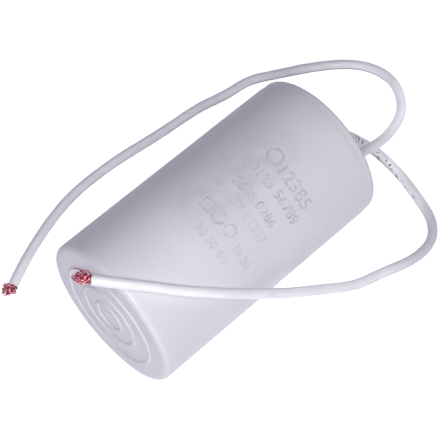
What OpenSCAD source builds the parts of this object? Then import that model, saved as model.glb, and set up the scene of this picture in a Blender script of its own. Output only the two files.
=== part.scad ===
// Motor run capacitor: a moulded round cup with a ribbed base, cast full of resin round a
// wound film roll, with two insulated leads out of the open end and stripped lead ends.
// It lies on its side: +X runs along the cup from the ribbed base to the open end, +Z is up,
// and the origin is on the bench under the middle of the cup.

/* [Case] */
// Outside diameter of the case
case_d = 40; // [36:0.5:60]
// Length of the case, from the crest of the base ribs to the rim
case_l = 70.5; // [60:0.5:120]
// Thickness of the case wall
wall_t = 1.3; // [1:0.05:2]
// Thickness of the base between its ribs
base_t = 1.6; // [1:0.1:3]
// Radius of the outside edge of the base
base_edge_r = 1.5; // [0.6:0.1:3]
// Radius of the inside corner of the cup
cup_corner_r = 1.2; // [0.4:0.1:2]
// Length of the set-in lip at the open end
lip_l = 2.2; // [1:0.1:5]
// Depth of the set-in at the lip
lip_step = 0.15; // [0.05:0.01:0.3]
// Radius of the outside edge of the rim
rim_edge_r = 0.4; // [0.1:0.05:0.6]

/* [Base ribs] */
// Radius of the outer ring rib
outer_rib_r = 14.1; // [12:0.1:15]
// Radius of the middle ring rib
middle_rib_r = 8.7; // [6:0.1:11]
// Radius of the inner ring rib
inner_rib_r = 4.2; // [3.6:0.1:5]
// Width of a ring rib where it meets the base
rib_w = 1.2; // [0.8:0.1:2]
// Height of a ring rib over the base
rib_h = 0.45; // [0.25:0.05:0.6]
// Width of the flat on the crest of a ring rib
rib_flat_w = 0.35; // [0.1:0.05:0.6]
// Radius of the gate boss in the middle of the base
gate_r = 1.9; // [1:0.1:2.5]
// Height of the gate boss over the base
gate_h = 0.2; // [0.1:0.05:0.25]
// Radius of the gate mark in the boss
gate_mark_r = 0.6; // [0.3:0.1:0.9]
// Depth of the gate mark
gate_mark_t = 0.25; // [0.1:0.05:0.4]

/* [Winding] */
// Thickness of the plain film wrapped round the roll
wrap_t = 0.3; // [0.1:0.05:0.5]
// Outside diameter of the winding core
core_d = 8; // [7:0.5:10]
// Bore of the winding core
core_bore_d = 6; // [5:0.2:6.4]
// Thickness of the sprayed metal on each end of the roll
spray_t = 0.6; // [0.3:0.1:1]

/* [Resin] */
// Depth of resin between the base and the winding
resin_bed_t = 3; // [2.8:0.1:5]
// Thickness of resin between the case wall and the winding
resin_wall_t = 1.5; // [0.5:0.1:4]
// Depth of resin over the winding
resin_top_t = 12.5; // [10:0.5:20]
// Distance of the resin surface below the rim
resin_drop = 1.2; // [0.6:0.1:3]
// Height that the resin climbs at the wall
resin_climb = 0.5; // [0.2:0.1:0.5]
// Height that the resin climbs round each lead
lead_climb = 0.4; // [0.2:0.1:0.5]

/* [Leads] */
// Outside diameter of the lead insulation
lead_d = 2.6; // [2:0.1:3.2]
// Clearance between a lead and the resin round it
lead_fit = 0.05; // [0.02:0.01:0.1]
// Sideways place of lead A from the case axis
lead_a_y = -7; // [-9:0.5:-6]
// Drop of lead A below the case axis
lead_a_drop = 3.5; // [0:0.5:6]
// Gap between a lead and the case where it lies on it
lead_gap = 0.2; // [0.1:0.1:1]

/* [Bare ends] */
// Diameter of the bare tinned tail inside the case
tail_d = 1.6; // [1:0.1:1.8]
// Bend radius of the tail
tail_bend_r = 1.6; // [1.2:0.1:2]
// Straight length of the tail along the sprayed metal
tail_reach = 4; // [3:0.1:6]
// Bare tail between the insulation and the sprayed metal
tail_bare_l = 5; // [4:0.1:8]
// Radius of the solder mound where it meets the sprayed metal
solder_r = 2.8; // [2.4:0.1:3.5]
// Height of the solder mound
solder_h = 2.2; // [2:0.1:2.6]
// Number of loose strands round the outside of a stripped end
outer_strands = 7; // [4:1:8]
// Number of loose strands inside them
inner_strands = 3; // [2:1:3]
// Diameter of a drawn strand
strand_d = 0.3; // [0.2:0.05:0.35]
// Length of a loose strand
strand_l = 3; // [2:0.1:4]
// Length of the conductor stub that the strands fan out from
stub_l = 0.8; // [0.5:0.1:1.5]
// Diameter of the conductor stub
stub_d = 1.6; // [1.4:0.1:1.9]
// Sideways angle of the fan of strands
fan_angle = 36; // [10:1:45]
// Height angle of the fan of strands
rise_angle = 20; // [10:1:25]

/* [Hidden] */
$fn = 96;

case_r = case_d / 2;
cup_r = case_r - wall_t;
wrap_r = cup_r - resin_wall_t;
roll_r = wrap_r - wrap_t;
core_r = core_d / 2;
core_bore_r = core_bore_d / 2;
lead_r = lead_d / 2;
tail_r = tail_d / 2;
rib_radii = [outer_rib_r, middle_rib_r, inner_rib_r];

// Heights along the case axis, from the crest of the base ribs
base_z = rib_h;
cup_z = base_z + base_t;
stack_z = cup_z + resin_bed_t;
roll_z = stack_z + spray_t;
lip_z = case_l - lip_l;
resin_z = case_l - resin_drop;
stack_top_z = resin_z - resin_top_t;
roll_top_z = stack_top_z - spray_t;
lead_a_end_z = stack_top_z + tail_bare_l;
lead_b_end_z = stack_z + tail_bare_l;

// Circle whose arc gives a ring rib its width, height and crest flat
rib_centre_z = ((rib_w * rib_w - rib_flat_w * rib_flat_w) / (4 * rib_h) + rib_h) / 2;
rib_arc_r = norm([rib_flat_w / 2, rib_centre_z]);
// Sphere whose cap is the solder mound
solder_arc_r = (solder_r * solder_r + solder_h * solder_h) / (2 * solder_h);

// Small length by which a cut runs past the face that it opens
past = 1;

lead_sides = 8;
bench_z = lead_r;

// Loose strands: inset of their roots in the stub, turn of their rings, upward lean of all of
// them, and place of the inner ring as a share of the outer one
root_inset = 0.05;
strand_turn = 20;
strand_lift = 12;
inner_place = 0.45;

// Route of lead A from the middle of the rim at bench level: out of the resin, round a loop
// beyond the open end, and back along the bench behind the case
lead_a_route = [
    [5.5, -7.4, 16.9], [10.3, -7.9, 16.3], [15, -7.6, 14.2], [20, -6.4, 11.2], [26, -4.3, 8],
    [32.3, -1, 5.5], [37.2, 4, 3.5], [39.9, 10, 2], [38.9, 16.8, bench_z], [35, 22, bench_z],
    [30, 26, bench_z], [24, 29.8, bench_z], [18, 33.2, bench_z], [11.5, 36.3, bench_z],
    [5, 37.2, bench_z], [-3, 38.9, bench_z], [-12, 39.8, bench_z], [-21, 40.6, bench_z],
    [-30, 41.6, bench_z], [-39, 42, bench_z], [-47, 41.6, bench_z], [-55, 40, bench_z],
    [-62.5, 37.6, bench_z], [-69.5, 34.8, bench_z], [-76, 31.6, bench_z]
];

// Route of lead B from the same place: down out of the resin and round a loop on the bench
lead_b_route = [
    [6, 0, 18.5], [10.5, -0.5, 15], [14.5, -2, 10], [17.5, -4.6, 5.7], [19.2, -8.8, 2.5],
    [19.2, -13.5, bench_z], [18.2, -18, bench_z], [16.8, -23, bench_z],
    [14.6, -28.5, bench_z], [10.1, -32.5, bench_z], [4, -33.2, bench_z], [-2, -32.1, 2],
    [-8, -30.6, 3]
];
// Rest of lead B as [distance from the rim, angle round the case axis, gap off the case]:
// it climbs from the bench on to the case and crosses over it to the base
lead_b_climb = [
    [-14, -26.3, 12], [-19.5, -23.5, 9.5], [-25, -19, 6.5], [-30, -11.5, 4.5],
    [-35, -4, 2.5], [-40, 5.5, 0.8], [-45, 17, lead_gap], [-50, 29, lead_gap],
    [-55, 40.5, lead_gap], [-59.5, 51, lead_gap], [-64, 62.5, lead_gap],
    [-69, 76, lead_gap], [-73.5, 90, lead_gap]
];

function off_rim(p) = [case_l / 2 + p[0], p[1], p[2]];
function round_case(p) =
    let (r = case_r + lead_r + p[2])
    [case_l / 2 + p[0], -r * cos(p[1]), case_r + r * sin(p[1])];

lead_a_path = concat(
    [[lead_a_end_z - case_l / 2, lead_a_y, case_r - lead_a_drop],
     [case_l / 2 + past, lead_a_y, case_r - lead_a_drop]],
    [for (p = lead_a_route) off_rim(p)]);
lead_b_path = concat(
    [[lead_b_end_z - case_l / 2, 0, case_r], [case_l / 2 + past, 0, case_r]],
    [for (p = lead_b_route) off_rim(p)],
    [for (p = lead_b_climb) round_case(p)]);

function unit(v) = v / norm(v);

// Direction of a path at each of its points
function headings(path) = [
    for (i = [0 : len(path) - 1])
        unit(path[min(i + 1, len(path) - 1)] - path[max(i - 1, 0)])
];

// Side vector at each point, turned as little as possible from the one before
function sideways(head) = [
    for (i = 0, s = unit(cross(head[0], [0, 0, 1]));
         i < len(head);
         i = i + 1, s = i < len(head) ? unit(s - (s * head[i]) * head[i]) : s) s
];

// Round tube carried along a path, with one ring of corners at each point
module swept_tube(path, r, sides) {
    head = headings(path);
    side = sideways(head);
    last = len(path) - 1;
    corners = [
        for (i = [0 : last], k = [0 : sides - 1])
            let (a = 360 * (k + 0.5) / sides)
            path[i] + r * (cos(a) * side[i] + sin(a) * cross(side[i], head[i]))
    ];
    walls = [
        for (i = [0 : last - 1], k = [0 : sides - 1])
            let (a = i * sides + k, b = i * sides + (k + 1) % sides)
            each [[a, b, b + sides], [a, b + sides, a + sides]]
    ];
    ends = [
        [for (k = [sides - 1 : -1 : 0]) k],
        [for (k = [0 : sides - 1]) last * sides + k]
    ];
    polyhedron(corners, concat(ends, walls), convexity = 6);
}

// Lays a solid modelled along +Z, from the base ribs up, down on its side along +X
module lay() {
    translate([-case_l / 2, 0, case_r]) rotate([0, 90, 0]) children();
}

module ring(r_out, r_in, h) {
    difference() {
        cylinder(r = r_out, h = h);
        translate([0, 0, -past]) cylinder(r = r_in, h = h + 2 * past);
    }
}

// Half section of a round plug with a rounded lower edge
module rounded_plug_section(r, h, edge_r) {
    square([r - edge_r, h]);
    translate([0, edge_r]) square([r, h - edge_r]);
    translate([r - edge_r, edge_r]) circle(edge_r);
}

// Half section of a ring rib at radius r, with its crest on z = 0
module rib_section(r) {
    intersection() {
        translate([r, rib_centre_z]) circle(rib_arc_r);
        translate([r - rib_w, 0]) square([2 * rib_w, rib_h + base_t / 2]);
    }
}

module case_section() {
    difference() {
        union() {
            translate([0, base_z]) rounded_plug_section(case_r, lip_z - base_z, base_edge_r);
            translate([0, base_z + base_t])
                square([case_r - lip_step, case_l - rim_edge_r - base_z - base_t]);
            translate([0, base_z + base_t])
                square([case_r - lip_step - rim_edge_r, case_l - base_z - base_t]);
            translate([case_r - lip_step - rim_edge_r, case_l - rim_edge_r])
                circle(rim_edge_r);
            for (r = rib_radii) rib_section(r);
            translate([0, base_z - gate_h]) square([gate_r, gate_h + base_t / 2]);
        }
        translate([0, cup_z]) rounded_plug_section(cup_r, case_l, cup_corner_r);
        translate([0, base_z - gate_h - past]) square([gate_mark_r, past + gate_mark_t]);
    }
}

module case() {
    color([0.85, 0.85, 0.89]) lay() rotate_extrude() case_section();
}

// Bare tail of a lead: down the lead's line, round a bend and along the sprayed metal
module tail(run_z, top_z) {
    bend_z = run_z + tail_bend_r;
    translate([0, 0, bend_z]) cylinder(r = tail_r, h = top_z - bend_z);
    translate([tail_bend_r, 0, bend_z]) rotate([-90, 0, 180])
        rotate_extrude(angle = 90) translate([tail_bend_r, 0]) circle(tail_r);
    translate([tail_bend_r, 0, run_z]) rotate([0, 90, 0])
        cylinder(r = tail_r, h = tail_reach);
}

module lead_a_tail_solid() {
    translate([lead_a_drop, lead_a_y, 0]) tail(stack_top_z + tail_r, lead_a_end_z);
}

module lead_b_tail_solid() {
    tail(stack_z - tail_r, lead_b_end_z);
}

// Solder mound, standing on z = 0 over the tail's run
module solder_mound() {
    translate([tail_bend_r + solder_r - (solder_arc_r - solder_h) / 2, 0, 0]) intersection() {
        translate([0, 0, solder_h - solder_arc_r]) sphere(solder_arc_r);
        cylinder(r = solder_r + past, h = solder_h + past);
    }
}

module solder_a_mound() {
    translate([lead_a_drop, lead_a_y, stack_top_z]) solder_mound();
}

module solder_b_mound() {
    translate([0, 0, stack_z]) mirror([0, 0, 1]) solder_mound();
}

// Resin that climbs a lead of radius r out of the resin surface
module lead_meniscus(r) {
    translate([0, 0, resin_z]) rotate_extrude() difference() {
        translate([r, -past]) square([lead_climb, lead_climb + past]);
        translate([r + lead_climb, lead_climb]) circle(lead_climb);
    }
}

module potting_section() {
    difference() {
        translate([0, cup_z])
            rounded_plug_section(cup_r, resin_z + resin_climb - cup_z, cup_corner_r);
        translate([0, resin_z]) square([cup_r - resin_climb, resin_climb + past]);
        translate([cup_r - resin_climb, resin_z + resin_climb]) circle(resin_climb);
    }
}

module potting() {
    hole_r = lead_r + lead_fit;
    color([0.90, 0.89, 0.85]) lay() difference() {
        union() {
            rotate_extrude() potting_section();
            lead_meniscus(hole_r);
            translate([lead_a_drop, lead_a_y, 0]) lead_meniscus(hole_r);
        }
        translate([0, 0, stack_z]) cylinder(r = wrap_r, h = stack_top_z - stack_z);
        translate([0, 0, stack_top_z - past]) cylinder(r = hole_r, h = case_l);
        translate([lead_a_drop, lead_a_y, lead_a_end_z]) cylinder(r = hole_r, h = case_l);
        lead_a_tail_solid();
        lead_b_tail_solid();
        solder_a_mound();
        solder_b_mound();
    }
}

module winding() {
    color([0.78, 0.80, 0.84]) lay()
        translate([0, 0, roll_z]) ring(roll_r, core_r, roll_top_z - roll_z);
}

module winding_core() {
    color([0.93, 0.93, 0.90]) lay()
        translate([0, 0, stack_z]) ring(core_r, core_bore_r, stack_top_z - stack_z);
}

module winding_wrap() {
    color([0.88, 0.86, 0.78]) lay()
        translate([0, 0, stack_z]) ring(wrap_r, roll_r, stack_top_z - stack_z);
}

module end_spray(z) {
    color([0.62, 0.63, 0.65]) lay() translate([0, 0, z]) ring(roll_r, core_r, spray_t);
}

module end_spray_lead_side() {
    end_spray(roll_top_z);
}

module end_spray_base_side() {
    end_spray(stack_z);
}

module lead_a() {
    color([0.90, 0.90, 0.93]) swept_tube(lead_a_path, lead_r, lead_sides);
}

module lead_b() {
    color([0.90, 0.90, 0.93]) swept_tube(lead_b_path, lead_r, lead_sides);
}

// Loose strands in a ring, each leaning outwards from its own place on the stub's end
module strand_ring(count, place) {
    root_r = place * (stub_d - strand_d) / 2 - root_inset;
    for (k = [0 : count - 1]) {
        side = place * cos(360 * k / count + strand_turn);
        up = place * sin(360 * k / count + strand_turn);
        translate([-root_r * up / place, root_r * side / place, stub_l / 2])
            rotate([-fan_angle * side, -rise_angle * up - strand_lift, 0])
            cylinder(d = strand_d, h = strand_l - stub_l / 2);
    }
}

// Stripped end of a lead: a stub of the conductor with loose strands fanned out from it
module strands(path) {
    last = len(path) - 1;
    ahead = unit(path[last] - path[last - 1]);
    color([0.78, 0.42, 0.36]) translate(path[last])
        rotate([0, 90 - asin(ahead[2]), atan2(ahead[1], ahead[0])]) {
            cylinder(d = stub_d, h = stub_l);
            strand_ring(outer_strands, 1);
            strand_ring(inner_strands, inner_place);
        }
}

module lead_a_strands() {
    strands(lead_a_path);
}

module lead_b_strands() {
    strands(lead_b_path);
}

module lead_a_tail() {
    color([0.80, 0.80, 0.78]) lay() lead_a_tail_solid();
}

module lead_b_tail() {
    color([0.80, 0.80, 0.78]) lay() lead_b_tail_solid();
}

module solder_a() {
    color([0.70, 0.71, 0.72]) lay() difference() {
        solder_a_mound();
        lead_a_tail_solid();
    }
}

module solder_b() {
    color([0.70, 0.71, 0.72]) lay() difference() {
        solder_b_mound();
        lead_b_tail_solid();
    }
}

case();
potting();
winding();
winding_core();
winding_wrap();
end_spray_lead_side();
end_spray_base_side();
lead_a();
lead_b();
lead_a_strands();
lead_b_strands();
lead_a_tail();
lead_b_tail();
solder_a();
solder_b();
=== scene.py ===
"""Looks of a motor run capacitor: a moulded cup with ring ribs on its base, cast full of resin,
with two insulated leads whose copper strands are bared."""

import math

import bmesh
import bpy
import numpy as np
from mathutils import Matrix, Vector


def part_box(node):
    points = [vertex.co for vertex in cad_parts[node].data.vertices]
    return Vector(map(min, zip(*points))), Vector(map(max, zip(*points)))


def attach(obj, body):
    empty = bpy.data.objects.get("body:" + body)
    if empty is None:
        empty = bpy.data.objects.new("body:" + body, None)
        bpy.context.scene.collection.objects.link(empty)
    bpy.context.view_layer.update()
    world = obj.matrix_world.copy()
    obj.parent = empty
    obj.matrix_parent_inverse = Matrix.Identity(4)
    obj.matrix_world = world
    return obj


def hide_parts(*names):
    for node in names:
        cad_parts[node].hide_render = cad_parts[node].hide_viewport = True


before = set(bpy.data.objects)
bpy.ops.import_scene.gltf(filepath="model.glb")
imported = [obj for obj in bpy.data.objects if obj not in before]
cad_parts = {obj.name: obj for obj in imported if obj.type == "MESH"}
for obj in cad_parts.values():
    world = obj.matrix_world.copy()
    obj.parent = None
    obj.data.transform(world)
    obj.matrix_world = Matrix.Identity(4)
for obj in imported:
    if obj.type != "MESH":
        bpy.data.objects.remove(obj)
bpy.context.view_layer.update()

MM = 0.001
ROOT = "root"

# --- Sizes, from the frame ------------------------------------------------------------------

case_low, case_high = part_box("case")
resin_low, resin_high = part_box("potting")
case_r = (case_high[2] - case_low[2]) / 2
base_x = case_low[0]
rim_x = case_high[0]
case_l = rim_x - base_x
axis_z = case_low[2] + case_r
cup_r = (resin_high[2] - resin_low[2]) / 2
cup_floor_x = resin_low[0]

# --- Sizes of the finer forms, in metres -----------------------------------------------------

base_edge_r = 1.5 * MM
cup_corner_r = 1.2 * MM
lip_l = 2.2 * MM
lip_step = 0.15 * MM
lip_blend = 0.6 * MM
rim_edge_r = 0.4 * MM
rib_radii = (14.1 * MM, 8.7 * MM, 4.2 * MM)
rib_w = 1.2 * MM
rib_h = 0.45 * MM
gate_r = 1.9 * MM
gate_h = 0.2 * MM
gate_mark_r = 0.6 * MM
gate_mark_t = 0.25 * MM
gate_edge_blend = 0.08 * MM
resin_drop = 1.2 * MM
resin_climb = 0.5 * MM
lead_climb = 0.4 * MM
climb_fall = 0.35 * MM
resin_dish = 0.12 * MM
resin_back = 2 * MM
resin_gap = 0.02 * MM
print_lift = 0.02 * MM
print_strip_w = 0.5 * MM

lead_r = 1.3 * MM
conductor_r = 0.78 * MM
strand_r = 0.13 * MM
lead_a_y = -7 * MM
lead_a_drop = 3.5 * MM
path_step = 0.8 * MM

case_sides = 256
resin_sides = 192
lead_sides = 32
strand_sides = 8

# --- Routes of the leads, the same points as in the part's source, in millimetres ------------

bench = lead_r / MM  # height of a lead's middle where it lies
lead_start = [-6, 1]  # distances from the rim of its straight way out of the resin

# [distance from the rim, side, height]
lead_a_route = [
    [5.5, -7.4, 16.9], [10.3, -7.9, 16.3], [15, -7.6, 14.2], [20, -6.4, 11.2], [26, -4.3, 8],
    [32.3, -1, 5.5], [37.2, 4, 3.5], [39.9, 10, 2], [38.9, 16.8, bench], [35, 22, bench],
    [30, 26, bench], [24, 29.8, bench], [18, 33.2, bench], [11.5, 36.3, bench],
    [5, 37.2, bench], [-3, 38.9, bench], [-12, 39.8, bench], [-21, 40.6, bench],
    [-30, 41.6, bench], [-39, 42, bench], [-47, 41.6, bench], [-55, 40, bench],
    [-62.5, 37.6, bench], [-69.5, 34.8, bench], [-76, 31.6, bench],
]
lead_b_route = [
    [6, 0, 18.5], [10.5, -0.5, 15], [14.5, -2, 10], [17.5, -4.6, 5.7], [19.2, -8.8, 2.5],
    [19.2, -13.5, bench], [18.2, -18, bench], [16.8, -23, bench],
    [14.6, -28.5, bench], [10.1, -32.5, bench], [4, -33.2, bench], [-2, -32.1, 2],
    [-8, -30.6, 3],
]
# [distance from the rim, angle round the case axis in degrees, gap off the case]
lead_b_climb = [
    [-14, -26.3, 12], [-19.5, -23.5, 9.5], [-25, -19, 6.5], [-30, -11.5, 4.5],
    [-35, -4, 2.5], [-40, 5.5, 0.8], [-45, 17, 0.2], [-50, 29, 0.2],
    [-55, 40.5, 0.2], [-59.5, 51, 0.2], [-64, 62.5, 0.2],
    [-69, 76, 0.2], [-73.5, 90, 0.2],
]


def round_case(distance, angle, gap):
    """Point off the case: its radius is the case's plus the lead's plus the gap, turned by
    the angle from -Y towards +Z."""
    r = case_r + lead_r + gap * MM
    turn = math.radians(angle)
    return [rim_x + distance * MM, -r * math.cos(turn), axis_z + r * math.sin(turn)]


def lead_points(offset_y, offset_z, route, climb=()):
    """The lead's straight way out of the resin, then its route, then its climb."""
    out = [[rim_x + x * MM, offset_y, axis_z + offset_z] for x in lead_start]
    lying = [[rim_x + p[0] * MM, p[1] * MM, p[2] * MM] for p in route]
    over = [round_case(*p) for p in climb]
    return np.array(out + lying + over)


# --- Curves and grids ------------------------------------------------------------------------


def smooth_path(points, step):
    """Natural cubic spline through the points, with the distance along them as parameter.

    The second derivatives solve the usual three-term rows, and the curve is then read at
    equal steps of its own length."""
    reach = np.concatenate([[0], np.cumsum(np.linalg.norm(np.diff(points, axis=0), axis=1))])
    gap = np.diff(reach)[:, None]
    count = len(points)
    rows = np.eye(count)
    right = np.zeros((count, 3))
    inner = np.arange(1, count - 1)
    rows[inner, inner - 1] = gap[:-1, 0]
    rows[inner, inner] = 2 * (gap[:-1, 0] + gap[1:, 0])
    rows[inner, inner + 1] = gap[1:, 0]
    slope = np.diff(points, axis=0) / gap
    right[1:-1] = 6 * np.diff(slope, axis=0)
    bend = np.linalg.solve(rows, right)

    def at(distance):
        k = np.clip(np.searchsorted(reach, distance) - 1, 0, count - 2)
        h = gap[k]
        t = (distance - reach[k])[:, None]
        near, far = bend[k], bend[k + 1]
        rise = slope[k] - h * (2 * near + far) / 6
        return points[k] + rise * t + near * t**2 / 2 + (far - near) * t**3 / (6 * h)

    fine = at(np.linspace(0, reach[-1], 2000))
    along = np.concatenate([[0], np.cumsum(np.linalg.norm(np.diff(fine, axis=0), axis=1))])
    places = np.linspace(0, along[-1], max(2, round(along[-1] / step) + 1))
    return np.stack([np.interp(places, along, fine[:, i]) for i in range(3)], axis=1)


def frames(path):
    """Heading, side and up vector at each point: the side is level, across the heading."""
    heading = np.gradient(path, axis=0)
    heading /= np.linalg.norm(heading, axis=1)[:, None]
    side = np.cross(heading, [0, 0, 1])
    side /= np.linalg.norm(side, axis=1)[:, None]
    return heading, side, np.cross(side, heading)


def carried_profile(path, radii, sides):
    """Circle of each given radius carried along the path, as a grid of points."""
    heading, side, up = frames(path)
    turn = np.linspace(0, 2 * math.pi, sides, endpoint=False)
    ring = np.cos(turn)[None, :, None] * side[:, None] + np.sin(turn)[None, :, None] * up[:, None]
    return path[:, None] + np.asarray(radii)[..., None, None] * ring


def turned_profile(x, r, sides):
    """Profile of distance x and radius r turned round the case axis, as a grid of points."""
    turn = np.linspace(0, 2 * math.pi, sides, endpoint=False)
    shape = (len(x), sides)
    return np.stack([
        np.broadcast_to(np.asarray(x)[:, None], shape),
        -np.asarray(r)[:, None] * np.cos(turn),
        axis_z + np.asarray(r)[:, None] * np.sin(turn),
    ], axis=2)


def arc(centre, r, start, end, steps):
    """Points on a circle of radius r from one angle to another, in degrees."""
    turn = np.radians(np.linspace(start, end, steps))
    return np.stack([centre[0] + r * np.cos(turn), centre[1] + r * np.sin(turn)], axis=1)


def grid_piece(name, grids, material):
    """Mesh of grids of points, each of which closes on itself across its second direction.

    Doubles at seams and poles are merged, the normals turned outwards, and it rides."""
    points, quads, start = [], [], 0
    for grid in grids:
        rows, sides = grid.shape[:2]
        here = start + np.arange(rows * sides).reshape(rows, sides)
        after = np.roll(here, -1, axis=1)
        quads.append(np.stack([here[:-1], after[:-1], after[1:], here[1:]], axis=2).reshape(-1, 4))
        points.append(grid.reshape(-1, 3))
        start += rows * sides
    mesh = bpy.data.meshes.new(name)
    mesh.from_pydata(np.concatenate(points), [], np.concatenate(quads).tolist())
    work = bmesh.new()
    work.from_mesh(mesh)
    bmesh.ops.remove_doubles(work, verts=work.verts, dist=1e-7)
    bmesh.ops.recalc_face_normals(work, faces=work.faces)
    work.to_mesh(mesh)
    work.free()
    return finished(name, mesh, material)


def finished(name, mesh, material):
    """Object of a mesh, shaded smooth, with its material and body."""
    mesh.polygons.foreach_set("use_smooth", np.ones(len(mesh.polygons), bool))
    mesh.materials.append(material)
    mesh.update()
    piece = bpy.data.objects.new(name, mesh)
    bpy.context.scene.collection.objects.link(piece)
    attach(piece, ROOT)
    return piece


# --- Materials -------------------------------------------------------------------------------

COLOUR_A, COLOUR_B = 6, 7  # numbers of a Mix node's colour inputs


def linear(hex_colour):
    """sRGB hex value to the linear colour that the shaders use."""
    parts = [int(hex_colour[i:i + 2], 16) / 255 for i in (1, 3, 5)]
    return [c / 12.92 if c <= 0.04045 else ((c + 0.055) / 1.055) ** 2.4 for c in parts] + [1]


def feed(tree, node, inputs):
    """Fills a node's inputs, which go by name or number, with hex colours, plain values,
    outputs of other nodes, or nodes, each of which stands for its first live output."""
    for key, value in inputs.items():
        if isinstance(value, bpy.types.Node):
            value = next(output for output in value.outputs if output.enabled)
        if isinstance(value, bpy.types.NodeSocket):
            tree.links.new(value, node.inputs[key])
        elif isinstance(value, str):
            node.inputs[key].default_value = linear(value)
        else:
            node.inputs[key].default_value = value


def add(tree, kind, inputs=(), **settings):
    """Adds a node with its settings, and feeds its inputs."""
    node = tree.nodes.new("ShaderNode" + kind)
    for name, value in settings.items():
        setattr(node, name, value)
    feed(tree, node, dict(inputs))
    return node


def new_material(name):
    """New material and its node tree."""
    material = bpy.data.materials.new(name)
    material.use_nodes = True
    return material, material.node_tree


def surfaced(material, inputs):
    """The material, with the inputs of its surface filled."""
    tree = material.node_tree
    feed(tree, tree.nodes["Principled BSDF"], inputs)
    return material


def zone(tree, *edges):
    """Share of a zone that fades out at each of its edges: the product of one straight fade
    for each. An edge is a measure, where its fade starts and where it ends, and, unless they
    are 0 and 1, the shares there."""
    share = None
    for measure, start, end, *shares in edges:
        low, high = shares or (0, 1)
        fade = add(tree, "MapRange", {"Value": measure, "From Min": start, "From Max": end,
                                      "To Min": low, "To Max": high})
        if share:
            fade = add(tree, "Math", {0: share, 1: fade}, operation="MULTIPLY")
        share = fade
    return share


def patches(tree, place, size, detail, roughness, low, high):
    """Soft patches about the given size across, in metres: noise spread between two levels."""
    blobs = add(tree, "TexNoise", {"Vector": place, "Scale": 1 / size, "Detail": detail,
                                   "Roughness": roughness})
    return zone(tree, (blobs, low, high))


def coated(tree, ground, *coats):
    """Colour of a ground under coats, each of which is a share and a colour."""
    for share, colour in coats:
        ground = add(tree, "Mix", {"Factor": share, COLOUR_A: ground, COLOUR_B: colour},
                     data_type="RGBA")
    return ground


def moulded_polypropylene():
    """Polypropylene, injection moulded with a fine satin texture: soft even sheen, slightly
    see-through, with a very slow change of tone and a few rubbed places, painted shade along the
    rim's rounded edge, and grey smudges of rubbed ink round the print. The real texture is finer
    than 0.1 mm, and its grain is drawn 0.35 mm wide so that it shows."""
    material, tree = new_material("moulded_polypropylene")
    place = add(tree, "TexCoord").outputs["Object"]
    x, y, z = add(tree, "SeparateXYZ", {"Vector": place}).outputs
    normal = add(tree, "NewGeometry").outputs["Normal"]
    facing_x = add(tree, "SeparateXYZ", {"Vector": normal}).outputs["X"]
    cloud = patches(tree, place, 22 * MM, 3, 0.5, 0.35, 0.65)
    rubs = add(tree, "TexNoise", {"Vector": place, "Scale": 1 / (5 * MM), "Detail": 6,
                                  "Roughness": 0.65})
    rubbed = zone(tree, (rubs, 0.60, 0.78, 0, 0.35))
    smears = add(tree, "TexNoise", {"Vector": place, "Scale": 1 / (4 * MM), "Detail": 3,
                                    "Roughness": 0.6})
    smudged = zone(tree, (x, -16 * MM, -4 * MM), (x, 25 * MM, 14 * MM), (y, 8 * MM, 2 * MM),
                   (y, -12 * MM, -5 * MM, 0.2, 1), (z, 24 * MM, 34 * MM),
                   (smears, 0.35, 0.65, 0.1, 0.6))
    # Painted shade: darker over the rim's rounded edge, where its surface turns from +X towards
    # the wall.
    painted_rim_shade = zone(tree, (facing_x, 0.85, 0.55),
                    (x, rim_x - 0.6 * MM, rim_x - 0.3 * MM, 0, 0.5))
    slow = add(tree, "TexNoise", {"Vector": place, "Scale": 1 / (9 * MM), "Detail": 1,
                                  "Roughness": 0.4})
    grain = add(tree, "TexNoise", {"Vector": place, "Scale": 1 / (0.35 * MM)})
    broad = add(tree, "Bump", {"Height": slow, "Distance": 0.06 * MM})
    return surfaced(material, {
        "Base Color": coated(tree, "#D5D5DA", (cloud, "#DADADF"), (rubbed, "#C6C6CE"),
                             (smudged, "#BDBCC8"), (painted_rim_shade, "#84838F")),
        "Roughness": zone(tree, (rubs, 0.3, 0.7, 0.36, 0.46)),
        "Normal": add(tree, "Bump", {"Height": grain, "Distance": 0.006 * MM, "Normal": broad}),
        "IOR": 1.49,
        "Subsurface Weight": 0.12,
        "Subsurface Radius": (1.0, 0.95, 0.9),
        "Subsurface Scale": 1.2 * MM,
    })


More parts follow.
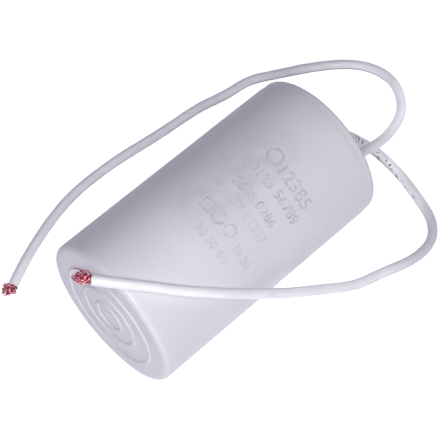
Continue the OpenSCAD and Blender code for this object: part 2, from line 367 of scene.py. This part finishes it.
def extruded_pvc(name, soiled):
    """PVC insulation, extruded: satin, nearly white, with painted shade underneath where it lies
    on the bench. The soiled one has painted shade at its bend and dark specks near the case: all
    round where it comes down, and on one side where it lies."""
    material, tree = new_material(name)
    place = add(tree, "TexCoord").outputs["Object"]
    x, y, z = add(tree, "SeparateXYZ", {"Vector": place}).outputs
    normal = add(tree, "NewGeometry").outputs["Normal"]
    facing_z = add(tree, "SeparateXYZ", {"Vector": normal}).outputs["Z"]
    cloud = patches(tree, place, 6 * MM, 3, 0.55, 0.35, 0.7)
    coats = [(cloud, "#E9E9EE")]
    if soiled:
        # Painted shade: darker at the lead's outer bend, beyond the rim and far out at -Y.
        painted_bend_shade = zone(tree, (y, -22 * MM, -29 * MM), (x, 28 * MM, 40 * MM))
        side = add(tree, "VectorMath", {0: normal, 1: (-0.75, -0.66, 0)}, operation="DOT_PRODUCT")
        near_side = zone(tree, (side, 0.3, 0.6))
        high_up = zone(tree, (z, 5 * MM, 8 * MM))
        touched = add(tree, "Math", {0: near_side, 1: high_up}, operation="MAXIMUM")
        dirt = add(tree, "TexNoise", {"Vector": place, "Scale": 1 / (0.9 * MM), "Detail": 3,
                                      "Roughness": 0.6})
        specks = zone(tree, (dirt, 0.565, 0.61), (y, -26 * MM, -21 * MM),
                      (x, rim_x + 8 * MM, rim_x + 14 * MM), (z, 17 * MM, 13 * MM),
                      (touched, 0, 1))
        coats += [(painted_bend_shade, "#D0CFD8"), (specks, "#4F4D57")]
    # Painted shade: darker on the underside, low down where the lead lies on the bench.
    painted_underside_shade = zone(tree, (facing_z, 0.2, -0.3), (z, 8 * MM, 4 * MM))
    coats += [(painted_underside_shade, "#84828F")]
    lines = add(tree, "TexNoise", {"Vector": place, "Scale": 1 / (1.2 * MM)})
    return surfaced(material, {
        "Base Color": coated(tree, "#F3F3F6", *coats),
        "Normal": add(tree, "Bump", {"Height": lines, "Distance": 0.01 * MM}),
        "Roughness": 0.35,
        "IOR": 1.53,
    })


def bare_copper():
    """Bare drawn copper wire: reddish metal, bright on the drawn sides and darker where it has
    tarnished."""
    material, tree = new_material("bare_drawn_copper")
    place = add(tree, "TexCoord").outputs["Object"]
    tarnish = patches(tree, place, 0.7 * MM, 3, 0.6, 0.41, 0.54)
    return surfaced(material, {
        "Base Color": coated(tree, "#F2A4AE", (tarnish, "#74203E")),
        "Roughness": zone(tree, (tarnish, 0, 1, 0.28, 0.5)),
        "Metallic": 1,
    })


def cast_resin():
    """Epoxy, cast and cured in place: off-white, glossy, with shallow ripples and pinholes."""
    material, tree = new_material("cast_epoxy_resin")
    place = add(tree, "TexCoord").outputs["Object"]
    cloud = patches(tree, place, 7 * MM, 4, 0.55, 0.3, 0.7)
    cells = add(tree, "TexVoronoi", {"Vector": place, "Scale": 1 / (2.2 * MM)})
    pinholes = zone(tree, (cells, 0.05, 0.12))
    waves = add(tree, "TexNoise", {"Vector": place, "Scale": 1 / (5 * MM), "Detail": 1,
                                   "Roughness": 0.4})
    ripples = add(tree, "Bump", {"Height": waves, "Distance": 0.15 * MM})
    return surfaced(material, {
        "Base Color": coated(tree, "#DAD8CF", (cloud, "#E6E4DC")),
        "Normal": add(tree, "Bump", {"Height": pinholes, "Distance": 0.08 * MM,
                                     "Normal": ripples}),
        "Roughness": 0.18,
        "IOR": 1.55,
    })


def screened_ink(name, full):
    """Grey ink, pad printed: thin and half worn off, so it is close to the case in tone."""
    material, tree = new_material(name)
    place = add(tree, "TexCoord").outputs["Object"]
    worn = patches(tree, place, 1.8 * MM, 5, 0.65, 0.36, 0.6)
    return surfaced(material, {
        "Base Color": coated(tree, full, (worn, "#CFCED6")),
        "Roughness": 0.5,
        "IOR": 1.49,
    })


def metallised_film():
    """Polypropylene film with a zinc and aluminium layer, wound: fine rings on its ends. The
    real turns are thinner than 0.01 mm, and their rings are drawn about 1 mm apart so that
    they show."""
    material, tree = new_material("wound_metallised_film")
    place = add(tree, "TexCoord").outputs["Object"]
    centred = add(tree, "Mapping", {"Vector": place, "Location": (0, 0, -axis_z)})
    # A wave texture draws a ring at each 0.314 of its size.
    rings = add(tree, "TexWave", {"Vector": centred, "Scale": 1 / (3.14 * MM),
                                  "Distortion": 0.6},
                wave_type="RINGS", rings_direction="X")
    return surfaced(material, {
        "Base Color": coated(tree, "#A9AEB8", (rings.outputs["Fac"], "#C9CDD4")),
        "Metallic": 0.6,
        "Roughness": 0.3,
    })


def plain_metal(name, light, dark, grain, roughness, depth):
    """Metal left as it was made: two tones in grains of the given size, and a bump."""
    material, tree = new_material(name)
    place = add(tree, "TexCoord").outputs["Object"]
    grains = add(tree, "TexNoise", {"Vector": place, "Scale": 1 / grain, "Detail": 4,
                                    "Roughness": 0.6})
    darker = zone(tree, (grains, 0.35, 0.65))
    return surfaced(material, {
        "Base Color": coated(tree, light, (darker, dark)),
        "Normal": add(tree, "Bump", {"Height": grains, "Distance": depth}),
        "Metallic": 1,
        "Roughness": roughness,
    })


def plain_plastic(name, light, dark, grain, roughness):
    """Plastic with two close tones in patches of the given size."""
    material, tree = new_material(name)
    place = add(tree, "TexCoord").outputs["Object"]
    darker = patches(tree, place, grain, 3, 0.5, 0.35, 0.65)
    return surfaced(material, {
        "Base Color": coated(tree, light, (darker, dark)),
        "Roughness": roughness,
        "IOR": 1.49,
    })


# --- Camera ----------------------------------------------------------------------------------

camera_data = bpy.data.cameras.new("camera")
camera_data.sensor_width = 36
camera_data.lens = 130.6
camera_data.clip_start = 0.01
camera = bpy.data.objects.new("camera", camera_data)
camera.location = (-139.68 * MM, -147.24 * MM, 353.31 * MM)
camera.rotation_euler = (math.radians(90 - 58.34), 0, math.radians(-43.79))
bpy.context.scene.collection.objects.link(camera)
bpy.context.scene.camera = camera

# --- Leads -----------------------------------------------------------------------------------

pvc_clean = extruded_pvc("extruded_pvc", False)
pvc_soiled = extruded_pvc("extruded_pvc_soiled", True)
copper = bare_copper()


def insulation(name, points, material, seed):
    """Insulation: a circle carried along the lead, with a slow change of radius, closed at its
    start inside the resin and open at its cut end, where a short bore shows the conductor.
    Where it lies, it rests on the bench."""
    path = smooth_path(points, path_step)
    along = np.linspace(0, 1, len(path))
    rng = np.random.default_rng(seed)
    wave = sum(0.008 * np.sin(2 * math.pi * (k * along + rng.random())) for k in (3, 7, 17, 31))
    radii = lead_r * (1 + wave)
    path[:, 2] = np.maximum(path[:, 2], radii)
    heading = path[-1] - path[-2]
    heading /= np.linalg.norm(heading)
    bore = conductor_r + 0.05 * MM
    cut_steps = [0.10 * MM, 0.15 * MM, 0.12 * MM, -1.5 * MM, -1.5 * MM]
    cut_radii = [lead_r * 0.98, lead_r * 0.90, bore, bore, 0]
    cut_path = path[-1] + np.outer(cut_steps, heading)
    grid = carried_profile(path, radii, lead_sides)
    cut = np.vstack([path[-2:], path[-1] + heading * 1e-6])
    ring = (carried_profile(cut, [lead_r] * 3, lead_sides)[1] - path[-1]) / lead_r
    end_grid = cut_path[:, None] + np.array(cut_radii)[:, None, None] * ring[None]
    start_grid = np.repeat(path[:1][None], lead_sides, axis=1)
    piece = grid_piece(name, [np.concatenate([start_grid, grid, end_grid])], material)
    return piece, path, heading


def copper_strands(tip, heading, seed, count, half, lean):
    """Bared strands, crumpled into a clump: each leaves the conductor's end and runs along a
    meridian of an egg of the given half sizes, forward, sideways and upward, at its own depth
    by the sunflower rule. It turns round the egg as it goes, with a small wave round it and in
    and out, and every sixth strand stands out of the clump."""
    sunflower_turn = math.radians(137.5)
    inside_l = 1.4 * MM
    rng = np.random.default_rng(seed)
    side = np.cross(heading, [0, 0, 1])
    side /= np.linalg.norm(side)
    up = np.cross(side, heading)
    k = np.arange(count)[:, None]
    t = np.linspace(0, 1, 26)[None]
    stray = (k % 6 == 5) * 1.0
    depth = np.sqrt((k + 0.5) / count) * (1 + 0.45 * stray)
    waves = 0.16 * np.sin(2 * math.pi * (2.3 * t + rng.random((count, 1))))
    turn = k * sunflower_turn + rng.normal(0, 0.8, (count, 1)) * t + waves * 1.5
    end = rng.uniform(0.62, 0.97, (count, 1)) - 0.25 * stray
    polar = math.pi * (1 - t * end)
    around = depth * np.sin(polar) * (1 + waves * np.minimum(1, 4 * t))
    root = conductor_r * 0.85 * depth * (1 - t) ** 3
    ahead = half[0] * (1 + np.cos(polar) * (0.6 + 0.4 * depth)) - half[0] * 0.4 * (1 - depth)
    sideways = (half[1] * around + root) * np.cos(turn) + lean[0] * t
    upward = (half[2] * around + root) * np.sin(turn) + lean[1] * t
    line = tip + heading * ahead[..., None] + side * sideways[..., None] + up * upward[..., None]
    inside = line[:, :1] - heading * (inside_l + ahead[:, :1, None])
    return np.concatenate([inside, line], axis=1)


def held_off(strands):
    """Strands moved up to the bench, and outwards to the case, where they would pass it."""
    out = strands.copy()
    out[..., 2] = np.maximum(out[..., 2], strand_r * 1.1)
    y, z = out[..., 1], out[..., 2] - axis_z
    r = np.hypot(y, z)
    grow = np.where(out[..., 0] < rim_x, np.maximum(1, (case_r + strand_r * 1.2) / r), 1)
    out[..., 1] = y * grow
    out[..., 2] = axis_z + z * grow
    return out


def strand_tube(line):
    """One strand: a circle carried along its line, with pinched ends."""
    radii = np.full(len(line) + 1, strand_r)
    radii[[0, -2, -1]] = 0, strand_r * 0.5, 0
    line = np.vstack([line, line[-1] + (line[-1] - line[-2]) * 0.05])
    return carried_profile(line, radii, strand_sides)


lead_a_points = lead_points(lead_a_y, -lead_a_drop, lead_a_route)
lead_b_points = lead_points(0, 0, lead_b_route, lead_b_climb)
lead_a, path_a, heading_a = insulation("lead_a_insulation", lead_a_points, pvc_clean, 3)
lead_b, path_b, heading_b = insulation("lead_b_insulation", lead_b_points, pvc_soiled, 8)
clump_a = copper_strands(path_a[-1], heading_a, 5, 32, (1.6 * MM, 1.8 * MM, 1.2 * MM),
                         (0.9 * MM, 0))
clump_b = copper_strands(path_b[-1], heading_b, 9, 32, (2.5 * MM, 1.4 * MM, 1.4 * MM),
                         (0.2 * MM, 0.1 * MM))
strands_a = grid_piece("lead_a_copper", map(strand_tube, held_off(clump_a)), copper)
strands_b = grid_piece("lead_b_copper", map(strand_tube, held_off(clump_b)), copper)


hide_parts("lead_a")
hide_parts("lead_b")
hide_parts("lead_a_strands")
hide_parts("lead_b_strands")

# --- Case ------------------------------------------------------------------------------------


def base_rise(r):
    """Height of the ribs and the gate boss over the base at radius r. A rib is a half wave
    with its crest flattened, and the boss is a step with its gate's mark sunk into it."""
    rise = np.zeros_like(r)
    for centre in rib_radii:
        t = np.clip((r - centre) / (rib_w / 2), -1, 1)
        rise += rib_h * np.minimum(1, 1.12 * np.cos(t * math.pi / 2) ** 1.2)
    boss, mark = (1 / (1 + np.exp((r - edge_r) / gate_edge_blend))
                  for edge_r in (gate_r, gate_mark_r))
    return rise + gate_h * boss - (gate_mark_t + gate_h) * mark


def case_profile():
    """Outline of the cup as distances from the crest of the ribs and radii: from the middle of
    the base round its edge, along the wall, over the rim and down the inside to the floor."""
    over_gate = np.linspace(0, 2.4 * MM, 30)
    over_ribs = [np.linspace(c - rib_w * 0.6, c + rib_w * 0.6, 19) for c in rib_radii]
    on_flats = [6.5 * MM, 11.4 * MM, 16.5 * MM]
    r = np.sort(np.concatenate([over_gate, *over_ribs, on_flats]))
    base = np.stack([rib_h - base_rise(r), r], axis=1)
    edge = arc((rib_h + base_edge_r, case_r - base_edge_r), base_edge_r, 180, 90, 14)
    wall_x = np.linspace(rib_h + base_edge_r + 1 * MM, case_l - lip_l - 0.8 * MM, 40)
    wall = np.stack([wall_x, np.full_like(wall_x, case_r)], axis=1)
    lip_x = case_l - lip_l + np.linspace(-1, 1, 7) * lip_blend
    fade = (1 - np.cos(np.linspace(0, math.pi, 7))) / 2
    lip = np.stack([lip_x, case_r - lip_step * fade], axis=1)
    lip_r = case_r - lip_step
    rim = arc((case_l - rim_edge_r, lip_r - rim_edge_r), rim_edge_r, 90, 0, 8)
    inner_edge = 0.15 * MM
    inside = arc((case_l - inner_edge, cup_r + inner_edge), inner_edge, 0, -90, 5)
    floor_x = cup_floor_x - base_x
    inner_wall = np.array([[case_l - 3 * MM, cup_r], [floor_x + cup_corner_r, cup_r]])
    corner = arc((floor_x + cup_corner_r, cup_r - cup_corner_r), cup_corner_r, 90, 180, 6)
    return np.vstack([base, edge, wall, lip, rim, inside, inner_wall, corner, [[floor_x, 0]]])


profile = case_profile()
case_grid = turned_profile(base_x + profile[:, 0], profile[:, 1], case_sides)
case = grid_piece("case_moulding", [case_grid], moulded_polypropylene())
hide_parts("case")

# --- Resin -----------------------------------------------------------------------------------


def resin_surface():
    """Resin plug: a polar grid whose height is the resin level, plus a climb at the wall and
    round each lead that dies away with distance, less a shallow uneven dish, and a flat back
    a little off the cup's floor."""
    edge_r = cup_r - resin_gap
    inner = np.linspace(0.6 * MM, 16.5 * MM, 54)
    near_wall = np.linspace(16.7 * MM, edge_r, 16)
    r = np.concatenate([[0], inner, near_wall])[:, None]
    turn = np.linspace(0, 2 * math.pi, resin_sides, endpoint=False)[None]
    y, z = -r * np.cos(turn), r * np.sin(turn)
    level = rim_x - resin_drop + resin_climb * np.exp((r - cup_r) / climb_fall)
    for lead_y, lead_z in ((0, 0), (lead_a_y, -lead_a_drop)):
        off = np.hypot(y - lead_y, z - lead_z) - lead_r
        level = level + lead_climb * np.exp(-np.maximum(off, 0) / climb_fall)
    uneven = 1 + 0.3 * np.sin(2 * turn + 1)
    level = level - resin_dish * np.cos(r / cup_r * math.pi / 2) * uneven
    top = np.stack([level, y, axis_z + z], axis=2)
    back = turned_profile([cup_floor_x + resin_back] * 2, [edge_r, 0], resin_sides)
    return np.concatenate([top, back])


resin = grid_piece("resin_plug", [resin_surface()], cast_resin())
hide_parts("potting")

# --- Print -----------------------------------------------------------------------------------

ink = screened_ink("pad_printed_ink", "#B2B2BB")
faint_ink = screened_ink("pad_printed_ink_faint", "#C3C3CB")


def corners_of(mesh):
    """The places of a mesh's corners, one row for each."""
    places = np.empty(len(mesh.vertices) * 3)
    mesh.vertices.foreach_get("co", places)
    return places.reshape(-1, 3)


def wrapped(name, mesh, x, angle, material):
    """Wraps a flat mesh round the case: reading direction runs round it, from +Z towards -Y,
    and the tops point along +X. It is cut into strips first so that it follows the round."""
    work = bmesh.new()
    work.from_mesh(mesh)
    for cut in np.arange(print_strip_w, corners_of(mesh)[:, 0].max(), print_strip_w):
        parts = work.verts[:] + work.edges[:] + work.faces[:]
        bmesh.ops.bisect_plane(work, geom=parts, dist=1e-8, plane_co=(cut, 0, 0),
                               plane_no=(1, 0, 0))
    work.to_mesh(mesh)
    work.free()
    flat = corners_of(mesh)
    turn = math.radians(angle) - flat[:, 0] / case_r
    r = case_r + print_lift
    placed = np.stack([x + flat[:, 1], -r * np.cos(turn), axis_z + r * np.sin(turn)], axis=1)
    mesh.vertices.foreach_set("co", placed.ravel())
    return finished(name, mesh, material)


def numerals(name, text, size, x, angle, material=ink):
    """Plain numerals, made a mesh and wrapped."""
    curve = bpy.data.curves.new(name, "FONT")
    curve.body = text
    curve.size = size
    curve.offset = 0.1 * MM  # thickens the strokes
    curve.resolution_u = 3
    holder = bpy.data.objects.new(name + "_flat", curve)
    mesh = bpy.data.meshes.new_from_object(holder)
    mesh.name = name
    mesh.materials.clear()
    bpy.data.objects.remove(holder)
    return wrapped(name, mesh, x, angle, material)


def outline_shape(name, corners, size, stroke, x, angle):
    """Regular outline: an outer and an inner ring of corners with faces between."""
    turn = np.linspace(0, 2 * math.pi, corners, endpoint=False) + math.pi / corners
    ring = np.stack([np.cos(turn), np.sin(turn)], axis=1)
    outer, inner = ring * size / 2, ring * (size / 2 - stroke)
    points = np.concatenate([outer, inner]) + size / 2
    k = np.arange(corners)
    quads = np.stack([k, (k + 1) % corners, (k + 1) % corners + corners, k + corners], axis=1)
    mesh = bpy.data.meshes.new(name)
    mesh.from_pydata(np.hstack([points, np.zeros((2 * corners, 1))]), [], quads.tolist())
    return wrapped(name, mesh, x, angle, ink)


outline_shape("print_ring", 48, 4.8 * MM, 0.8 * MM, 13.5 * MM, 85.6)
numerals("print_row_1", "12385", 5.0 * MM, 13.2 * MM, 72)
numerals("print_row_2", "0123 56789", 3.8 * MM, 8.9 * MM, 85)
numerals("print_row_3", "2608 0286", 3.5 * MM, 3.5 * MM, 85)
numerals("print_row_4", "1357 91357", 3.5 * MM, -0.8 * MM, 85, faint_ink)
outline_shape("print_square", 4, 4.6 * MM, 0.65 * MM, -7.3 * MM, 89)
outline_shape("print_circle", 48, 4.0 * MM, 0.65 * MM, -7 * MM, 77)
outline_shape("print_small_circle", 48, 3.4 * MM, 0.4 * MM, -6.8 * MM, 64)
numerals("print_row_5", "10 20", 3.0 * MM, -7.3 * MM, 50, faint_ink)
numerals("print_row_6", "30 50 60", 3.2 * MM, -11.5 * MM, 77, faint_ink)

# --- Pieces inside ---------------------------------------------------------------------------

core_tube = plain_plastic("extruded_core_tube", "#E8E7DE", "#DDDCD2", 3 * MM, 0.45)
clear_wrap = plain_plastic("wrapped_clear_film", "#DDD7C2", "#E4DFCD", 6 * MM, 0.2)
zinc = plain_metal("sprayed_zinc", "#9A9CA0", "#777A80", 0.4 * MM, 0.7, 0.1 * MM)
tinned = plain_metal("tinned_copper", "#D8D8D4", "#BFBFBB", 0.6 * MM, 0.3, 0.01 * MM)
solder = plain_metal("flowed_solder", "#C2C4C6", "#A9ABAE", 1.2 * MM, 0.28, 0.03 * MM)
inner_looks = {
    "winding": metallised_film(), "winding_core": core_tube, "winding_wrap": clear_wrap,
    "end_spray_lead_side": zinc, "end_spray_base_side": zinc,
    "lead_a_tail": tinned, "lead_b_tail": tinned, "solder_a": solder, "solder_b": solder,
}
for node_name, look in inner_looks.items():
    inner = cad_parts[node_name].data
    inner.materials.clear()
    inner.materials.append(look)

# --- Stage -----------------------------------------------------------------------------------


def seen_ray(tree):
    """1 for rays from the camera and for those that a reflection or glass sends on, else 0."""
    rays = add(tree, "LightPath").outputs
    seen = rays["Is Camera Ray"]
    for kind in ("Is Glossy Ray", "Is Transmission Ray"):
        seen = add(tree, "Math", {0: seen, 1: rays[kind]}, operation="MAXIMUM")
    return seen


def pale_floor(lit, glow):
    """Floor: a pale diffuse surface, which keeps the shadow, and on top of it an even glow
    that only the camera, a reflection or glass sees, so that both together are white."""
    material, tree = new_material("pale_floor")
    diffuse = add(tree, "BsdfDiffuse", {"Color": lit})
    strength = add(tree, "Math", {0: seen_ray(tree), 1: glow}, operation="MULTIPLY")
    white = add(tree, "Emission", {"Color": "#FFFFFF", "Strength": strength})
    both = add(tree, "AddShader", {0: diffuse, 1: white})
    feed(tree, tree.nodes["Material Output"], {"Surface": both})
    return material


floor_half = 3.0
floor_mesh = bpy.data.meshes.new("floor")
floor_mesh.from_pydata([(-floor_half, -floor_half, 0), (floor_half, -floor_half, 0),
                        (floor_half, floor_half, 0), (-floor_half, floor_half, 0)],
                       [], [(0, 1, 2, 3)])
floor_mesh.materials.append(pale_floor("#DEDCEA", 0.8))
floor = bpy.data.objects.new("floor", floor_mesh)
bpy.context.scene.collection.objects.link(floor)

world = bpy.data.worlds.new("studio")
bpy.context.scene.world = world
world.use_nodes = True
sky = world.node_tree
lighting = sky.nodes["Background"]
feed(sky, lighting, {"Color": "#7A7AD4", "Strength": 0.12})
backdrop = add(sky, "Background", {"Color": "#E7E7E7"})
both = add(sky, "MixShader", {"Fac": seen_ray(sky), 1: lighting, 2: backdrop})
feed(sky, sky.nodes["World Output"], {"Surface": both})


def hung_lamp(name, data, place, aim, power, colour):
    """Lamp at a place, turned to face a point."""
    data.energy = power
    data.color = linear(colour)[:3]
    lamp = bpy.data.objects.new(name, data)
    lamp.location = place
    lamp.rotation_euler = (Vector(aim) - Vector(place)).to_track_quat("-Z", "Y").to_euler()
    bpy.context.scene.collection.objects.link(lamp)
    return lamp


def spot_lamp(name, place, aim, angle, radius, power):
    """Lamp with a snoot, that lights a small round area."""
    data = bpy.data.lights.new(name, "SPOT")
    data.spot_size = math.radians(angle)
    data.spot_blend = 0.8
    data.shadow_soft_size = radius
    return hung_lamp(name, data, place, aim, power, "#FFFFFF")


def soft_lamp(name, place, aim, size, power, colour="#FFFFFF"):
    """Square soft lamp."""
    data = bpy.data.lights.new(name, "AREA")
    data.size = size
    return hung_lamp(name, data, place, aim, power, colour)


def past(lamp, piece):
    """Lets a lamp's light past a thin piece, so that the piece throws no dark band from it."""
    passed = bpy.data.collections.new(lamp.name + "_passes")
    passed.objects.link(piece)
    passed.collection_objects[0].light_linking.link_state = "EXCLUDE"
    lamp.light_linking.blocker_collection = passed


middle = (0, 0, axis_z)
soft_lamp("over_base", (-0.15, -0.12, 0.30), middle, 0.12, 0.59)
low_front = soft_lamp("low_front", (-0.20, -0.33, 0.22), middle, 0.60, 1.13, "#FFFFF4")
past(low_front, lead_b)
soft_lamp("key", (0, -0.25, 0.70), middle, 0.25, 0.615, "#FBF7FF")
soft_lamp("end_fill", (0.42, -0.03, 0.08), middle, 0.20, 0.22)
spot_lamp("loop", (0.03, 0.03, 0.55), (0.063, 0.002, 0.007), 3.6, 0.004, 4.5)

bpy.context.scene.view_settings.view_transform = "Standard"
